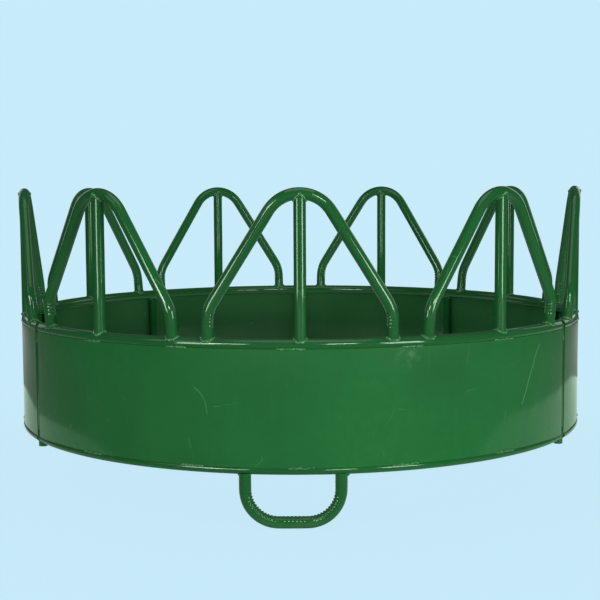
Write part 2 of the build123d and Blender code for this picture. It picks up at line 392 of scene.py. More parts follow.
def make_piece(name, skins, azimuth, body, finish, stands_for=()):
    """One piece of painted steel from skins made at azimuth 0, turned to its place on its body."""
    points, faces = [], []
    for made in skins:
        base = len(points)
        skin_points, skin_faces = turned(made, azimuth)
        points += skin_points
        faces += [tuple(base + corner for corner in face) for face in skin_faces]
    mesh = bpy.data.meshes.new(name)
    mesh.from_pydata(points, [], faces)
    shell = bmesh.new()
    shell.from_mesh(mesh)
    bmesh.ops.recalc_face_normals(shell, faces=shell.faces)
    shell.to_mesh(mesh)
    shell.free()
    mesh.shade_smooth()
    mesh.set_sharp_from_angle(angle=math.radians(SHARP))
    mesh.materials.append(finish)
    piece = bpy.data.objects.new(name, mesh)
    bpy.context.scene.collection.objects.link(piece)
    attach(piece, body)
    if stands_for:
        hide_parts(*stands_for)


def make_tube(node, section, made, azimuth, finish):
    """Tube of a section, in place of its CAD node."""
    make_piece(f"{node}_tube", [made], azimuth, f"{section}_section", finish, [node])


# Paths and tubes
class FlatPath:
    """Straight runs joined by round bends, in a plane. A left bend has a positive curvature."""

    def __init__(self, corners, radius=1.0):
        self.runs = []
        self.bends = []
        self.length = 0.0
        corners = [Vector(corner) for corner in corners]
        here = corners[0]
        for before, corner, after in zip(corners, corners[1:], corners[2:]):
            came, goes = corner - before, after - corner
            turn = math.atan2(came.x * goes.y - came.y * goes.x, came.dot(goes))
            side = math.copysign(1, turn)
            cut = radius * math.tan(abs(turn) / 2)
            self.add(here, came, (corner - here).length - cut, 0.0)
            start = self.length
            self.add(corner - came.normalized() * cut, came, radius * abs(turn), side / radius)
            self.bends.append((start, self.length, side))
            here = corner + goes.normalized() * cut
        self.add(here, corners[-1] - here, (corners[-1] - here).length, 0.0)

    def add(self, start, direction, length, curvature):
        """Adds a run from a point in a direction."""
        self.runs.append((self.length, start, math.atan2(direction.y, direction.x), curvature))
        self.length += length

    def at(self, distance):
        """Point and heading at a distance along the path."""
        passed = [run for run in self.runs if run[0] <= max(distance, 0)]
        begin, start, heading, curvature = passed[-1]
        gone = distance - begin
        if curvature == 0:
            return start + gone * Vector((math.cos(heading), math.sin(heading))), heading
        there = heading + curvature * gone
        step = Vector((math.sin(there) - math.sin(heading), math.cos(heading) - math.cos(there)))
        return start + step / curvature, there


def stand(radius, height, lean=0.0):
    """Matrix of an upright plane at azimuth 0: X along the ring, Y up and leaning out, Z out."""
    across = Vector((1, 0, 0))
    up = Vector((0, -math.sin(lean), math.cos(lean)))
    matrix = Matrix((across, up, across.cross(up))).transposed().to_4x4()
    matrix.translation = Vector((0, -radius, height))
    return matrix


def on_plane(path, plane):
    """Function that gives a path's centre and two cross directions in space."""
    turned_plane = plane.to_3x3()

    def place(distance):
        point, heading = path.at(distance)
        left = Vector((-math.sin(heading), math.cos(heading), 0))
        return plane @ Vector((point.x, point.y, 0)), turned_plane @ left, turned_plane @ upward(1)

    return place


def round_ring(ring, height, start):
    """Function that gives a rail's centre and two cross directions in space."""

    def place(distance):
        away = outward(start + math.degrees(distance / ring))
        return away * ring + upward(height), away, upward(1)

    return place


class Tube:
    """Painted tube along a path, with the bender's ripples and a slight wander in its skin.

    ripples are stretches of wrinkled skin: where each starts and ends, its side and its height.
    """

    def __init__(self, place, length, radius, seed, bends=(), ripples=()):
        self.place = place
        self.length = length
        self.radius = radius
        self.bends = bends
        self.ripples = ripples
        self.drift = Vector((seed % 97, seed % 89, seed % 83)) * 1.37  # its own part of the noise

    def radius_at(self, distance, turn):
        """Distance of the skin from the tube's centre line."""
        side, rest = math.cos(turn), math.sin(turn)
        stray = noise.noise(self.drift + Vector((distance * WANDER_RATE, side, rest)))
        radius = self.radius + WANDER * stray
        for start, end, towards in self.bends:
            half = FLATTENING_FADE / 2
            share = window(start - half, end + half, FLATTENING_FADE, distance)
            radius -= FLATTENING * share * max(0.0, -side * towards) ** 2
        for start, end, towards, height in self.ripples:
            share = window(start, end, RIPPLE_FADE * (end - start), distance)
            if share > 0:
                grip = max(0.0, side * towards + GRIP_REACH) / (1 + GRIP_REACH)
                along, about = SLIP_RATE
                place = Vector((distance * along, rest * about, 0))
                slip = RIPPLE_SLIP * noise.noise(self.drift * 2 + place)
                wave = math.cos(2 * math.pi * (distance - start) / RIPPLE_PITCH + slip)
                radius += height * share * grip * (wave - RIPPLE_SINK)
        return radius

    def facing(self, distance, turn):
        """Direction out of the tube's skin."""
        _, left, out = self.place(distance)
        return math.cos(turn) * left + math.sin(turn) * out

    def point(self, distance, turn):
        """Point on the tube's skin."""
        centre, left, out = self.place(distance)
        away = math.cos(turn) * left + math.sin(turn) * out
        return centre + self.radius_at(distance, turn) * away

    def cut(self, gap, inside, outside, count=ROUND):
        """Distances at which lines of the skin leave another tube, whose gap function is given."""
        cuts = []
        for turn in around(count):
            low, high = inside, outside
            if gap(self.point(low, turn)) >= 0:
                high = low
            for _ in range(HALVINGS):
                middle = (low + high) / 2
                if gap(self.point(middle, turn)) < 0:
                    low = middle
                else:
                    high = middle
            cuts.append(high)
        return cuts

    def skin(self, start=None, end=None):
        """Skin between the tube's ends, which are coped where lists of cuts are given."""
        start = start or [0.0] * ROUND
        end = end or [self.length] * ROUND
        first, last = max(start) + FINE_MARGIN, min(end) - FINE_MARGIN
        fine = [(a - FINE_MARGIN, b + FINE_MARGIN) for a, b, *_ in (*self.bends, *self.ripples)]
        shares = [i / COPE_RINGS for i in range(COPE_RINGS)]
        stations = [[cut + (first - cut) * share for cut in start] for share in shares]
        here = first
        while here < last:
            stations.append([here] * ROUND)
            here += BEND_STEP if any(a < here < b for a, b in fine) else STRAIGHT_STEP
        stations += [[last + (cut - last) * (1 - share) for cut in end] for share in reversed(shares)]
        rings = []
        for station in stations:
            rings.append([self.point(*there) for there in zip(station, around(ROUND))])
        return skin(rings)


def straight_tube(foot, height, radius, seed):
    """Upright tube over the rails' ring, from a foot's height."""
    path = FlatPath(((0, 0), (0, height)))
    return Tube(on_plane(path, stand(RING, foot)), path.length, radius, seed)


def round_gap(ring, height, tube):
    """Function that gives a point's distance outside a rail."""
    return lambda p: math.hypot(math.hypot(p.x, p.y) - ring, p.z - height) - tube


top_gap = round_gap(RING, RAIL_Z, TUBE)
lower_gap = round_gap(LOWER_RING, LOWER_Z, LOWER_TUBE)


def leg_gap(point):
    """Gap function of the shallow copes that loops and bars have on the top rail."""
    return min(top_gap(point), point.z - RAIL_Z - COPE_FLOOR)


def facing_of(point, gap):
    """Direction in which a gap function grows at a point."""
    steps = Matrix.Scale(1e-5, 3)  # its rows are short steps along the axes
    return Vector([gap(point + step) - gap(point - step) for step in steps]).normalized()


# Welds
def even_stations(line, closed):
    """Even points along a line of points and facings, and the line's length."""
    line = line + line[:1] if closed else line
    passed = [0.0]
    for (here, _), (there, _) in zip(line, line[1:]):
        passed.append(passed[-1] + (there - here).length)
    total = passed[-1]
    count = max(6, round(total / WELD_STEP))
    stations = []
    i = 0
    for n in range(count if closed else count + 1):
        distance = total * n / count
        while passed[i + 1] < distance and i < len(line) - 2:
            i += 1
        share = (distance - passed[i]) / max(passed[i + 1] - passed[i], 1e-9)
        (here, face), (there, next_face) = line[i], line[i + 1]
        stations.append((here.lerp(there, share), face.lerp(next_face, share).normalized()))
    return stations, total


def bead(line, seed, size=WELD_SIZE, closed=False):
    """Lumpy weld bead along a line of points, each with the direction that the bead faces."""
    draw = random.Random(seed)
    drift = Vector((draw.uniform(0, 60), draw.uniform(0, 60), 0))
    stations, total = even_stations(line, closed)
    last = len(stations) - 1
    count = last + 1 if closed else last
    lumps = max(1, round(total / WELD_LUMP))
    rings = []
    for n, (centre, face) in enumerate(stations):
        before = stations[n - 1 if closed else max(n - 1, 0)][0]
        after = stations[(n + 1) % (last + 1) if closed else min(n + 1, last)][0]
        run = (after - before).normalized()
        side = run.cross(face).normalized()
        rough = noise.noise(drift + centre * ROUGH_RATE)
        swell = math.cos(2 * math.pi * n * lumps / count + LUMP_SLIP * rough)
        radius = size * (1 + LUMP_SWELL * swell + WELD_ROUGHNESS * rough)
        if not closed:
            distance = total * n / count
            full = smooth(0, 2 * size, min(distance, total - distance))
            radius *= WELD_TIP + (1 - WELD_TIP) * math.sqrt(full)
        stray = size * WELD_STRAY * noise.noise(drift - centre * STRAY_RATE)
        middle = centre + side * stray
        rings.append(circle(middle, side.cross(run), WELD_WIDTH * side, radius, WELD_SIDES))
    return skin(rings, closed)


def joint_bead(tube, gap, inside, outside, seed, size=WELD_SIZE, surface=None):
    """Bead round a tube's cut end, against the surface it stands on; open where they don't meet."""
    surface = surface or gap
    line = []
    for turn, distance in zip(around(JOINT_POINTS), tube.cut(gap, inside, outside, JOINT_POINTS)):
        point = tube.point(distance, turn)
        met = abs(gap(point)) < MEETING
        away = facing_of(point, surface)
        face = (tube.facing(distance, turn) + away).normalized()
        line.append((point - away * surface(point) / 2 + face * size * WELD_LIFT, face) if met else None)
    if all(line):
        return bead(line, seed, size, closed=True)
    turns = range(JOINT_POINTS)
    first = next(j for j in turns if line[j] is None and line[(j + 1) % JOINT_POINTS])
    line = [line[(first + 1 + j) % JOINT_POINTS] for j in turns]
    return bead(line[: line.index(None)], seed, size)


# Sections
def loop_shape():
    """Path of a loop in its leaning plane, and the centre of its round top."""
    slant = math.radians(LOOP_SLANT)
    rise = math.hypot(LOOP_HEIGHT, RING - LEG_RADIUS)
    peak = rise + LOOP_BEND * (1 / math.sin(slant) - 1)
    knee = peak - LEG_REACH / math.tan(slant)
    corners = ((-LEG_REACH, 0), (-LEG_REACH, knee), (0, peak), (LEG_REACH, knee), (LEG_REACH, 0))
    return FlatPath(corners, LOOP_BEND), Vector((0, rise - LOOP_BEND, 0))


def loop_ripples(path):
    """Ripples inside a loop's knees, and faint ones inside its round top."""
    (a0, a1, knee_side), (b0, b1, top_side), (c0, c1, _) = path.bends
    plain = APEX_PLAIN * (b1 - b0)
    return (
        (a0 - KNEE_LEAD, a0 + KNEE_SHARE * (a1 - a0), knee_side, KNEE_RIPPLE),
        (b0 + plain, b1 - plain, top_side, APEX_RIPPLE),
        (c1 - KNEE_SHARE * (c1 - c0), c1 + KNEE_LEAD, knee_side, KNEE_RIPPLE),
    )


def make_loop(section, place, azimuth, finish):
    """Loop and the bar in its middle. Returns their welds."""
    seed = hash_of(f"{section} loop {place}")
    path, hub = loop_shape()
    plane = stand(LEG_RADIUS, RAIL_Z, LOOP_LEAN)
    back = plane.inverted()
    loop = Tube(on_plane(path, plane), path.length, TUBE, seed, path.bends, loop_ripples(path))

    def apex_gap(point):
        local = back @ point - hub
        return math.hypot(math.hypot(local.x, local.y) - LOOP_BEND, local.z) - TUBE

    bar = straight_tube(RAIL_Z, LOOP_HEIGHT, TUBE, seed + 1)
    meetings = (
        (loop, leg_gap, 0.0, COPE_REACH),
        (loop, leg_gap, loop.length, loop.length - COPE_REACH),
        (bar, leg_gap, 0.0, COPE_REACH),
        (bar, apex_gap, bar.length, bar.length - 2 * COPE_REACH),
    )
    cuts = [tube.cut(*meeting) for tube, *meeting in meetings]
    for kind, made in (("loop", loop.skin(*cuts[:2])), ("bar", bar.skin(*cuts[2:]))):
        node = f"{section}_{kind}_{place}"
        make_tube(node, section, made, azimuth, finish)
    welds = [joint_bead(*meetings[i], seed + i, LEG_WELD, top_gap) for i in range(3)]
    return welds + [joint_bead(*meetings[3], seed + 3, APEX_WELD)]


def make_upright(section, place, azimuth, finish):
    """Upright behind the skirt. Returns its welds."""
    seed = hash_of(f"{section} upright {place}")
    tube = straight_tube(LOWER_Z, RAIL_Z - LOWER_Z, UPRIGHT_TUBE, seed)
    meetings = (
        (tube, lower_gap, 0.0, COPE_REACH),
        (tube, top_gap, tube.length, tube.length - COPE_REACH),
    )
    made = tube.skin(*[tube.cut(*meeting) for tube, *meeting in meetings])
    node = f"{section}_upright_{place}"
    make_tube(node, section, made, azimuth, finish)
    return [joint_bead(*meeting, seed + i) for i, meeting in enumerate(meetings)]


def make_foot(section, azimuth, finish):
    """Foot hoop, with its ground flat. Returns its welds."""
    seed = hash_of(f"{section} foot")
    left, right = foot_low.x + TUBE, foot_high.x - TUBE
    corners = ((left, FOOT_TOP), (left, FOOT_LINE), (right, FOOT_LINE), (right, FOOT_TOP))
    path = FlatPath(corners, FOOT_BEND)
    (_, flat_start, _), (flat_end, _, _) = path.bends
    ripples = [(a - FOOT_LEAD, b + FOOT_TRAIL, side, FOOT_RIPPLE) for a, b, side in path.bends]
    ripples.append((flat_start - FOOT_LEAD, flat_end + FOOT_LEAD, 1, FOOT_CREASE))
    tube = Tube(on_plane(path, stand(RING, 0)), path.length, TUBE, seed, path.bends, ripples)
    meetings = (
        (tube, lower_gap, 0.0, COPE_REACH),
        (tube, lower_gap, tube.length, tube.length - COPE_REACH),
    )
    points, faces = tube.skin(*[tube.cut(*meeting) for tube, *meeting in meetings])
    points = [Vector((p.x, p.y, max(p.z, 0.0))) for p in points]
    node = f"{section}_foot"
    make_tube(node, section, (points, faces), azimuth, finish)
    return [joint_bead(*meeting, seed + i, FOOT_WELD) for i, meeting in enumerate(meetings)]


def make_rails(section, azimuth, finish, cap_finish):
    """Top and bottom rail, and the welded plates that close their ends."""
    caps = []
    rails = {"top": (RING, RAIL_Z, TUBE), "bottom": (LOWER_RING, LOWER_Z, LOWER_TUBE)}
    for kind, (ring, height, radius) in rails.items():
        seed = hash_of(f"{section} {kind} rail")
        place = round_ring(ring, height, RAIL_START)
        length = math.radians(RAIL_END - RAIL_START) * ring
        node = f"{section}_{kind}_rail"
        made = Tube(place, length, radius, seed).skin()
        make_tube(node, section, made, azimuth, finish)
        for distance, way in ((0.0, -1), (length, 1)):
            centre, away, up = place(distance)
            caps.append(rail_cap(centre, away, up, way * up.cross(away).normalized(), radius))
            caps.append(rail_cap_bead(centre, away, up, radius, seed + way))
    node = f"{section}_rail_caps"
    body = f"{section}_section"
    make_piece(f"{node}_plate", caps, azimuth, body, cap_finish, [node])


def rail_cap(centre, away, up, out, radius):
    """Slightly domed plate in a rail's end."""
    edge = radius - CAP_INSET
    profile = (
        (edge, -CAP_DEPTH),
        (edge - CAP_ROUNDING, CAP_RISE / 2),
        (edge - CAP_CROWN, CAP_RISE),
        (CAP_HUB, CAP_RISE),
    )
    return skin([circle(centre + out * rise, away, up, reach, ROUND) for reach, rise in profile])


def rail_cap_bead(centre, away, up, radius, seed):
    """Ground weld bead round a rail's end plate."""
    points = circle(centre, away, up, radius - CAP_BEAD_INSET, ROUND)
    line = [(point, (point - centre).normalized()) for point in points]
    return bead(line, seed, CAP_BEAD, closed=True)


def make_skirt(section, azimuth, finish):
    """Rolled sheet between the rails, with the slight waves that welding pulls into it."""
    drift = Vector((SECTIONS[section], 7.3, 2.1))  # the section's own part of the noise
    further = drift + Vector((0, 0, 9))
    rows = [SKIRT_FOOT + (SKIRT_TOP - SKIRT_FOOT) * i / SKIRT_ROWS for i in range(SKIRT_ROWS + 1)]
    steps = round((SKIRT_END - SKIRT_START) / SKIRT_STEP)
    rings = []
    for i in range(steps + 1):
        turn = SKIRT_START + (SKIRT_END - SKIRT_START) * i / steps
        away = outward(turn)
        outer, inner = [], []
        for height in rows:
            held = math.sin(math.pi * (height - SKIRT_FOOT) / (SKIRT_TOP - SKIRT_FOOT))
            broad = noise.noise(drift + Vector((turn * BROAD_WAVES[0], height * BROAD_WAVES[1], 0)))
            small = noise.noise(further + Vector((turn * SMALL_WAVES[0], height * SMALL_WAVES[1], 0)))
            shift = SKIRT_WAVE * held * (broad + SMALL_SHARE * small)
            outer.append(away * (SKIRT_OUTER + shift) + upward(height))
            inner.append(away * (SKIRT_INNER + shift) + upward(height))
        rings.append(outer + inner[::-1])
    node = f"{section}_skirt"
    body = f"{section}_section"
    make_piece(f"{node}_sheet", [skin(rings)], azimuth, body, finish, [node])


def stitch_welds(section):
    """Short welds along the skirt's top and foot."""
    draw = random.Random(f"{section} stitches")
    beads = []
    heights = (SKIRT_TOP + STITCH_GAP, SKIRT_FOOT - STITCH_GAP)
    for height, proud, lean in zip(heights, STITCH_PROUD, STITCH_LEAN):
        ring = SKIRT_OUTER + proud
        for k in STITCHES:
            middle = k * STITCH_SPACING + STITCH_SHIFT + draw.uniform(-STITCH_STRAY, STITCH_STRAY)
            half = math.degrees(STITCH_LENGTH / 2 / ring) * draw.uniform(*STITCH_STRETCH)
            line = []
            for step in range(STITCH_STEPS + 1):
                away = outward(middle + half * (2 * step / STITCH_STEPS - 1))
                line.append((away * ring + upward(height), (away + upward(lean)).normalized()))
            beads.append(bead(line, draw.randrange(1000), STITCH_SIZE))
    return beads


def make_section(section, azimuth, paints):
    """Everything on one section's body except its sleeves."""
    make_rails(section, azimuth, paints["tube"], paints["fitting"])
    make_skirt(section, azimuth, paints["sheet"])
    joints = []
    for place in LOOPS:
        there = azimuth_of(f"{section}_loop_{place}", azimuth)
        joints.append((make_loop(section, place, there, paints["tube"]), there))
    for place in UPRIGHTS:
        there = azimuth_of(f"{section}_upright_{place}", azimuth)
        joints.append((make_upright(section, place, there, paints["tube"]), there))
    joints.append((make_foot(section, azimuth, paints["tube"]), azimuth))
    joints.append((stitch_welds(section), azimuth))
    welds = [turned(made, there) for beads, there in joints for made in beads]
    body = f"{section}_section"
    make_piece(f"{section}_weld_beads", welds, 0.0, body, paints["weld"])


# Fittings at the joints
def turned_rings(axis, profile):
    """Rings of a turned piece over a point on the ground. Its profile has radii and heights."""
    across, back = Vector((1, 0, 0)), Vector((0, 1, 0))
    return [circle(axis + upward(height), across, back, radius, TURNED) for radius, height in profile]


def make_sleeve(node, body, finish):
    """Sleeve with softened rims, where its CAD node stands."""
    low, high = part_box(node)
    outside = (high.x - low.x) / 2
    profile = (
        (SLEEVE_BORE, low.z + EDGE),
        (SLEEVE_BORE + EDGE, low.z),
        (outside - EDGE, low.z),
        (outside, low.z + EDGE),
        (outside, high.z - EDGE),
        (outside - EDGE, high.z),
        (SLEEVE_BORE + EDGE, high.z),
        (SLEEVE_BORE, high.z - EDGE),
    )
    made = skin(turned_rings(axis_of(node), profile), closed=True)
    make_piece(f"{node}_tube", [made], 0.0, body, finish, [node])


def sleeve_welds(section, azimuth, finish):
    """Beads down both sides of each sleeve, where it meets its end bar.

    A sleeve's way is the direction round the ring in which its section lies.
    """
    beads = []
    for kind, way in SLEEVE_WAYS.items():
        node = f"{section}_{kind}"
        if node not in nodes:
            continue
        low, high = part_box(node)
        foot, top = low.z + SLEEVE_WELD_MARGIN, high.z - SLEEVE_WELD_MARGIN
        joint = azimuth - way * HALF_SECTION
        away = outward(joint)
        run = outward(joint + way * 90)
        for side in (-1, 1):
            face = (away * side - run * SLEEVE_WELD_TURN).normalized()
            root = away * (JOINT_RADIUS + side * SLEEVE_WELD_SIDE) + run * SLEEVE_WELD_ALONG
            line = []
            for step in range(SLEEVE_WELD_STEPS + 1):
                height = foot + (top - foot) * step / SLEEVE_WELD_STEPS
                line.append((root + upward(height), face))
            beads.append(bead(line, hash_of(node) + side, SLEEVE_WELD))
    body = f"{section}_section"
    make_piece(f"{section}_sleeve_welds", beads, 0.0, body, finish)


def pin_eye(root, centre, seed):
    """Lifting eye round its centre, and the weld round its root on the collar."""
    away = Vector((root.x, root.y, 0)).normalized()
    across = Vector((-away.y, away.x, 0))
    rings = []
    for turn in around(TURNED):
        out = math.cos(turn) * across + math.sin(turn) * upward(1)
        rings.append(circle(centre + out * EYE_RADIUS, out, away, EYE_WIRE, EYE_SIDES))
    line = []
    for point in circle(root, across * EYE_WELD_STRETCH, away, EYE_WELD_REACH, EYE_WELD_POINTS):
        line.append((point, ((point - root).normalized() + upward(1)).normalized()))
    return [skin(rings, closed=True), bead(line, seed, EYE_WELD, closed=True)]


def make_pin(joint, finish):
    """Drop pin with its collar, and its lifting eye."""
    body = f"{joint}_pin"
    low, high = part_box(body)
    axis = axis_of(body)
    seat = high.z - COLLAR_HEIGHT
    profile = (
        (PIN_RADIUS - PIN_NOSE, low.z),
        (PIN_RADIUS, low.z + PIN_NOSE),
        (PIN_RADIUS, seat),
        (COLLAR_RADIUS - EDGE, seat),
        (COLLAR_RADIUS, seat + EDGE),
        (COLLAR_RADIUS, high.z - EDGE),
        (COLLAR_RADIUS - EDGE, high.z),
        (COLLAR_HUB, high.z),
    )
    rod = skin(turned_rings(axis, profile))
    make_piece(f"{body}_rod", [rod], 0.0, body, finish, [body])
    node = f"{body}_eye"
    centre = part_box(node)[1].z - EYE_WIRE - EYE_RADIUS
    eye = pin_eye(axis + upward(high.z), axis + upward(centre), hash_of(joint))
    make_piece(f"{body}_ring", eye, 0.0, body, finish, [node])


# Finishes
class Graph:
    """Short way to write a node tree."""

    def __init__(self, tree):
        self.tree = tree
        tree.nodes.clear()

    def add(self, kind, inputs=None, **settings):
        """Adds a shader node. inputs maps its sockets to values or other nodes' outputs."""
        node = self.tree.nodes.new("ShaderNode" + kind)
        for name, value in settings.items():
            setattr(node, name, value)
        for name, value in (inputs or {}).items():
            if isinstance(value, bpy.types.NodeSocket):
                self.tree.links.new(value, node.inputs[name])
            else:
                node.inputs[name].default_value = value
        return node

    def noise(self, where, scale, detail=3.0, roughness=0.5):
        inputs = {"Vector": where, "Scale": scale, "Detail": detail, "Roughness": roughness}
        return self.add("TexNoise", inputs).outputs["Fac"]

    def stretch(self, where, scale):
        return self.add("Mapping", {"Vector": where, "Scale": scale}).outputs["Vector"]

    def axes(self, where):
        return self.add("SeparateXYZ", {"Vector": where}).outputs

    def range(self, value, low, high, to_low=0.0, to_high=1.0):
        inputs = {"Value": value, "From Min": low, "From Max": high, "To Min": to_low, "To Max": to_high}
        return self.add("MapRange", inputs, clamp=True).outputs["Result"]

    def math(self, operation, first, second):
        return self.add("Math", {0: first, 1: second}, operation=operation).outputs[0]

    def vector_math(self, operation, first, second=(0, 0, 0)):
        return self.add("VectorMath", {0: first, 1: second}, operation=operation).outputs

    def apart(self, first, second):
        """How far apart two values are."""
        return self.math("ABSOLUTE", self.math("SUBTRACT", first, second), 0.0)

    def mix(self, share, first, second):
        """Mix of two colours. The numbers are the Mix node's colour sockets."""
        inputs = {0: share, 6: first, 7: second}
        return self.add("Mix", inputs, data_type="RGBA").outputs[2]

    def bump(self, height, distance, strength, under=None):
        inputs = {"Height": height, "Distance": distance, "Strength": strength}
        if under is not None:
            inputs["Normal"] = under
        return self.add("Bump", inputs).outputs["Normal"]


def scratches(graph, where, scale, shift):
    """Thin curved scratches, a few centimetres long."""
    inputs = {"Vector": where, "Location": (shift, shift * 2.3, 0)}
    moved = graph.add("Mapping", inputs).outputs["Vector"]
    line = graph.apart(graph.noise(moved, scale, 1.0), 0.5)
    here = graph.range(graph.noise(moved, scale * SCRATCH_BREAKS, 2.0), *SCRATCH_BAND)
    return graph.math("MULTIPLY", graph.range(line, 0.0, SCRATCH, 1.0, 0.0), here)


def inward(graph, where):
    """How squarely a surface faces the ring's axis: 1 on the skirt's inside, -1 on its outside."""
    to_axis = graph.vector_math("NORMALIZE", graph.stretch(where, (-1, -1, 0)))["Vector"]
    facing = graph.add("TexCoord").outputs["Normal"]
    return graph.vector_math("DOT_PRODUCT", to_axis, facing)["Value"]


def long_scratch(graph, where, turn, height):
    """How strongly the long scratch shows, at the skirt's right."""
    (low_turn, low), (high_turn, high) = LONG_SCRATCH
    path = graph.range(height, low, high, math.radians(low_turn), math.radians(high_turn))
    bow = graph.range(graph.noise(where, BOW_SCALE, 1.0), 0.0, 1.0, -LONG_BOW, LONG_BOW)
    away = graph.apart(graph.math("ADD", turn, bow), path)
    line = graph.range(away, 0.0, LONG_WIDTH / RING, LONG_SHARE, 0.0)
    within = graph.math("LESS_THAN", graph.apart(height, (low + high) / 2), (high - low) / 2)
    return graph.math("MULTIPLY", line, within)


def rubbed_patch(graph, turn, height, mottle):
    """How strongly the patch under the top rail is rubbed."""
    (patch_turn, patch_height), reach = RUBBED
    across = graph.math("MULTIPLY", graph.math("SUBTRACT", turn, math.radians(patch_turn)), RING)
    up = graph.math("SUBTRACT", height, patch_height)
    spread = graph.add("CombineXYZ", {"X": across, "Y": up}).outputs["Vector"]
    near = graph.vector_math("LENGTH", spread)["Value"]
    rub = graph.range(near, reach * RUBBED_FULL, reach, RUBBED_SHARE, 0.0)
    return graph.math("MULTIPLY", rub, graph.range(mottle, *RUBBED_BAND))


def marks(graph, where, mottle):
    """How strongly the outside of the front skirt is marked."""
    axes = graph.axes(where)
    turn = graph.math("ARCTAN2", axes["X"], graph.math("MULTIPLY", axes["Y"], -1.0))
    scratch = long_scratch(graph, where, turn, axes["Z"])
    return graph.math("MAXIMUM", scratch, rubbed_patch(graph, turn, axes["Z"], mottle))


def dust(graph, where, mottle, grain):
    """How dusty a surface is: splashed near the ground, and settled where it faces up."""
    low = graph.range(graph.axes(where)["Z"], 0.0, SPLASH_HEIGHT, SPLASH_SHARE, 0.0)
    splashed = graph.math("MULTIPLY", low, graph.range(mottle, *SPLASH_BAND))
    facing = graph.axes(graph.add("NewGeometry").outputs["Normal"])["Z"]
    flat = graph.range(facing, *SETTLED_SLOPE, 0.0, SETTLED_SHARE)
    settled = graph.math("MULTIPLY", flat, graph.range(grain, *SETTLED_BAND))
    return graph.math("MAXIMUM", splashed, settled)


def enamel(name, deep, full, gloss, peel, sag, dust_and_painted_haze=0.0, painted_glints=0.0):
    """Glossy green enamel, sprayed by hand: uneven, with orange peel, runs, nibs of dust and scratches.

    film is the share of a grey layer on surfaces that face into the ring: partly dust, partly painted
    haze standing in for light reflected inside the ring; with it, marks go on the outside.
    speckle is how strongly a rough weld is flecked with pale green: painted glints standing in for
    catch-lights.
    """
    material = bpy.data.materials.new(name)
    material.use_nodes = True
    graph = Graph(material.node_tree)
    where = graph.add("TexCoord").outputs["Object"]
    cloud = graph.noise(where, CLOUD_SCALE, 2.0)
    mottle = graph.noise(where, MOTTLE_SCALE, 4.0, 0.6)
    grain = graph.noise(where, GRAIN_SCALE, 2.0)
    runs = graph.noise(graph.stretch(where, RUN_STRETCH), 1.0, 3.0)
    dusty = dust(graph, where, mottle, grain)

    colour = graph.mix(graph.range(cloud, *CLOUD_BAND), (*deep, 1), (*full, 1))
    colour = graph.mix(graph.range(mottle, *MOTTLE_BAND, 0.0, MOTTLE_SHARE), colour, (*deep, 1))
    colour = graph.mix(graph.range(runs, *RUN_BAND, 0.0, RUN_SHARE), colour, (*full, 1))
    colour = graph.mix(dusty, colour, (*DUST_AND_HAZE_GREY, 1))
    # Grey layer on inward faces: partly dust, partly painted haze standing in for reflected light
    if dust_and_painted_haze:
        inside = graph.range(inward(graph, where), *DUST_AND_HAZE_BAND)
        dust_and_haze_share = graph.range(cloud, *DUST_AND_HAZE_BAND, dust_and_painted_haze * (1 - DUST_AND_HAZE_SPREAD), dust_and_painted_haze * (1 + DUST_AND_HAZE_SPREAD))
        colour = graph.mix(graph.math("MULTIPLY", inside, dust_and_haze_share), colour, (*DUST_AND_HAZE_GREY, 1))
        outside = graph.math("SUBTRACT", 1.0, inside)
        marked = graph.math("MULTIPLY", outside, marks(graph, where, mottle))
        colour = graph.mix(marked, colour, (*SCRATCH_AND_GLINT_GREEN, 1))
    # Pale flecks on welds: painted glints
    if painted_glints:
        colour = graph.mix(graph.range(grain, *GLINT_FLECK_BAND, 0.0, painted_glints), colour, (*SCRATCH_AND_GLINT_GREEN, 1))
    scratch = graph.math("MAXIMUM", *[scratches(graph, where, *layer) for layer in SCRATCH_LAYERS])
    colour = graph.mix(graph.math("MULTIPLY", scratch, SCRATCH_SHARE), colour, (*SCRATCH_AND_GLINT_GREEN, 1))

    rough = graph.range(mottle, *GLOSS_BAND, gloss, gloss + GLOSS_SPREAD)
    rough = graph.math("ADD", rough, graph.math("MULTIPLY", dusty, DUST_ROUGHNESS))
    nibs = graph.add("TexVoronoi", {"Vector": where, "Scale": NIB_SCALE}).outputs["Distance"]
    normal = graph.bump(cloud, sag * CLOUD_SAG, 0.5)
    normal = graph.bump(runs, sag, 0.5, normal)
    normal = graph.bump(grain, peel, 0.6, normal)
    normal = graph.bump(graph.range(nibs, *NIB_SIZE, 1.0, 0.0), peel * NIB_HEIGHT, 0.35, normal)

    coat = {"Coat Weight": COAT_WEIGHT, "Coat Roughness": COAT_ROUGHNESS, "Coat IOR": PAINT_IOR}
    inputs = {"Base Color": colour, "Roughness": rough, "IOR": PAINT_IOR, "Normal": normal, **coat}
    shader = graph.add("BsdfPrincipled", inputs)
    graph.add("OutputMaterial", {"Surface": shader.outputs["BSDF"]})
    return material


